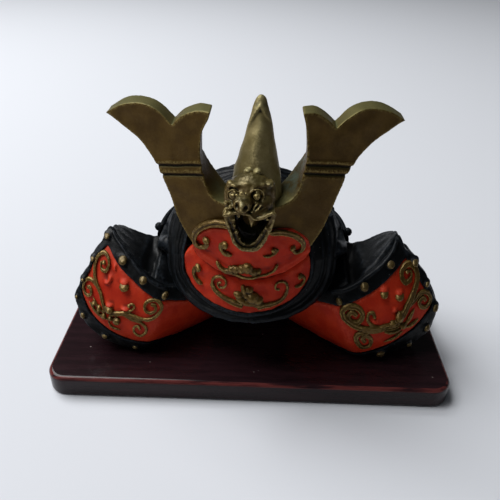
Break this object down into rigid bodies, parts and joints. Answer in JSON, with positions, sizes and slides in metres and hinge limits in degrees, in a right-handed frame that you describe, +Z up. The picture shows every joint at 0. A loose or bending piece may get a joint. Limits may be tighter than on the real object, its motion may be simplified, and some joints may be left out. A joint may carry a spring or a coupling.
{
  "type": "miniature kabuto helmet on a display stand",
  "caption": "Miniature samurai kabuto helmet with a swept blade crest, horn, beast head, turned-back side plates and neck guard, fixed to a flat lacquered display stand.",
  "frame": {"origin": "centre of the underside of the stand", "axes": "+Z up, -Y towards the front of the helmet, +X along the stand's length"},
  "size_m": [0.09, 0.06, 0.0634],
  "materials": {
    "lacquer": "glossy dark mahogany lacquer",
    "black_paint": "satin black paint on cast resin",
    "red_paint": "matte orange-red paint on cast resin",
    "gold_paint": "antique gold paint on cast resin",
    "gold_relief_paint": "brighter gold paint on raised relief"
  },
  "bodies": {
    "root": {"stand": "lacquer", "bowl": "black_paint", "bowl_band": "black_paint", "neck_lame_1": "black_paint", "neck_lame_2": "black_paint", "neck_lame_3": "black_paint", "neck_lame_4": "black_paint", "visor": "red_paint", "visor_rim": "black_paint", "blade_right": "gold_paint", "blade_left": "gold_paint", "crest_field": "red_paint", "horn": "gold_paint", "beast_head": "gold_paint", "wing_right": "black_paint", "wing_left": "black_paint", "wing_panel_right": "red_paint", "wing_panel_left": "red_paint", "top_band_right": "black_paint", "top_band_left": "black_paint", "edge_band_right": "black_paint", "edge_band_left": "black_paint", "cheek_right": "red_paint", "cheek_left": "red_paint", "wing_vines_right": "gold_relief_paint", "wing_vines_left": "gold_relief_paint", "crest_curl_right": "gold_relief_paint", "crest_curl_left": "gold_relief_paint", "crest_comma_right": "gold_relief_paint", "crest_comma_left": "gold_relief_paint", "crest_garland": "gold_relief_paint", "visor_curl_right": "gold_relief_paint", "visor_curl_left": "gold_relief_paint", "visor_garland": "gold_relief_paint"}
  },
  "joints": []
}
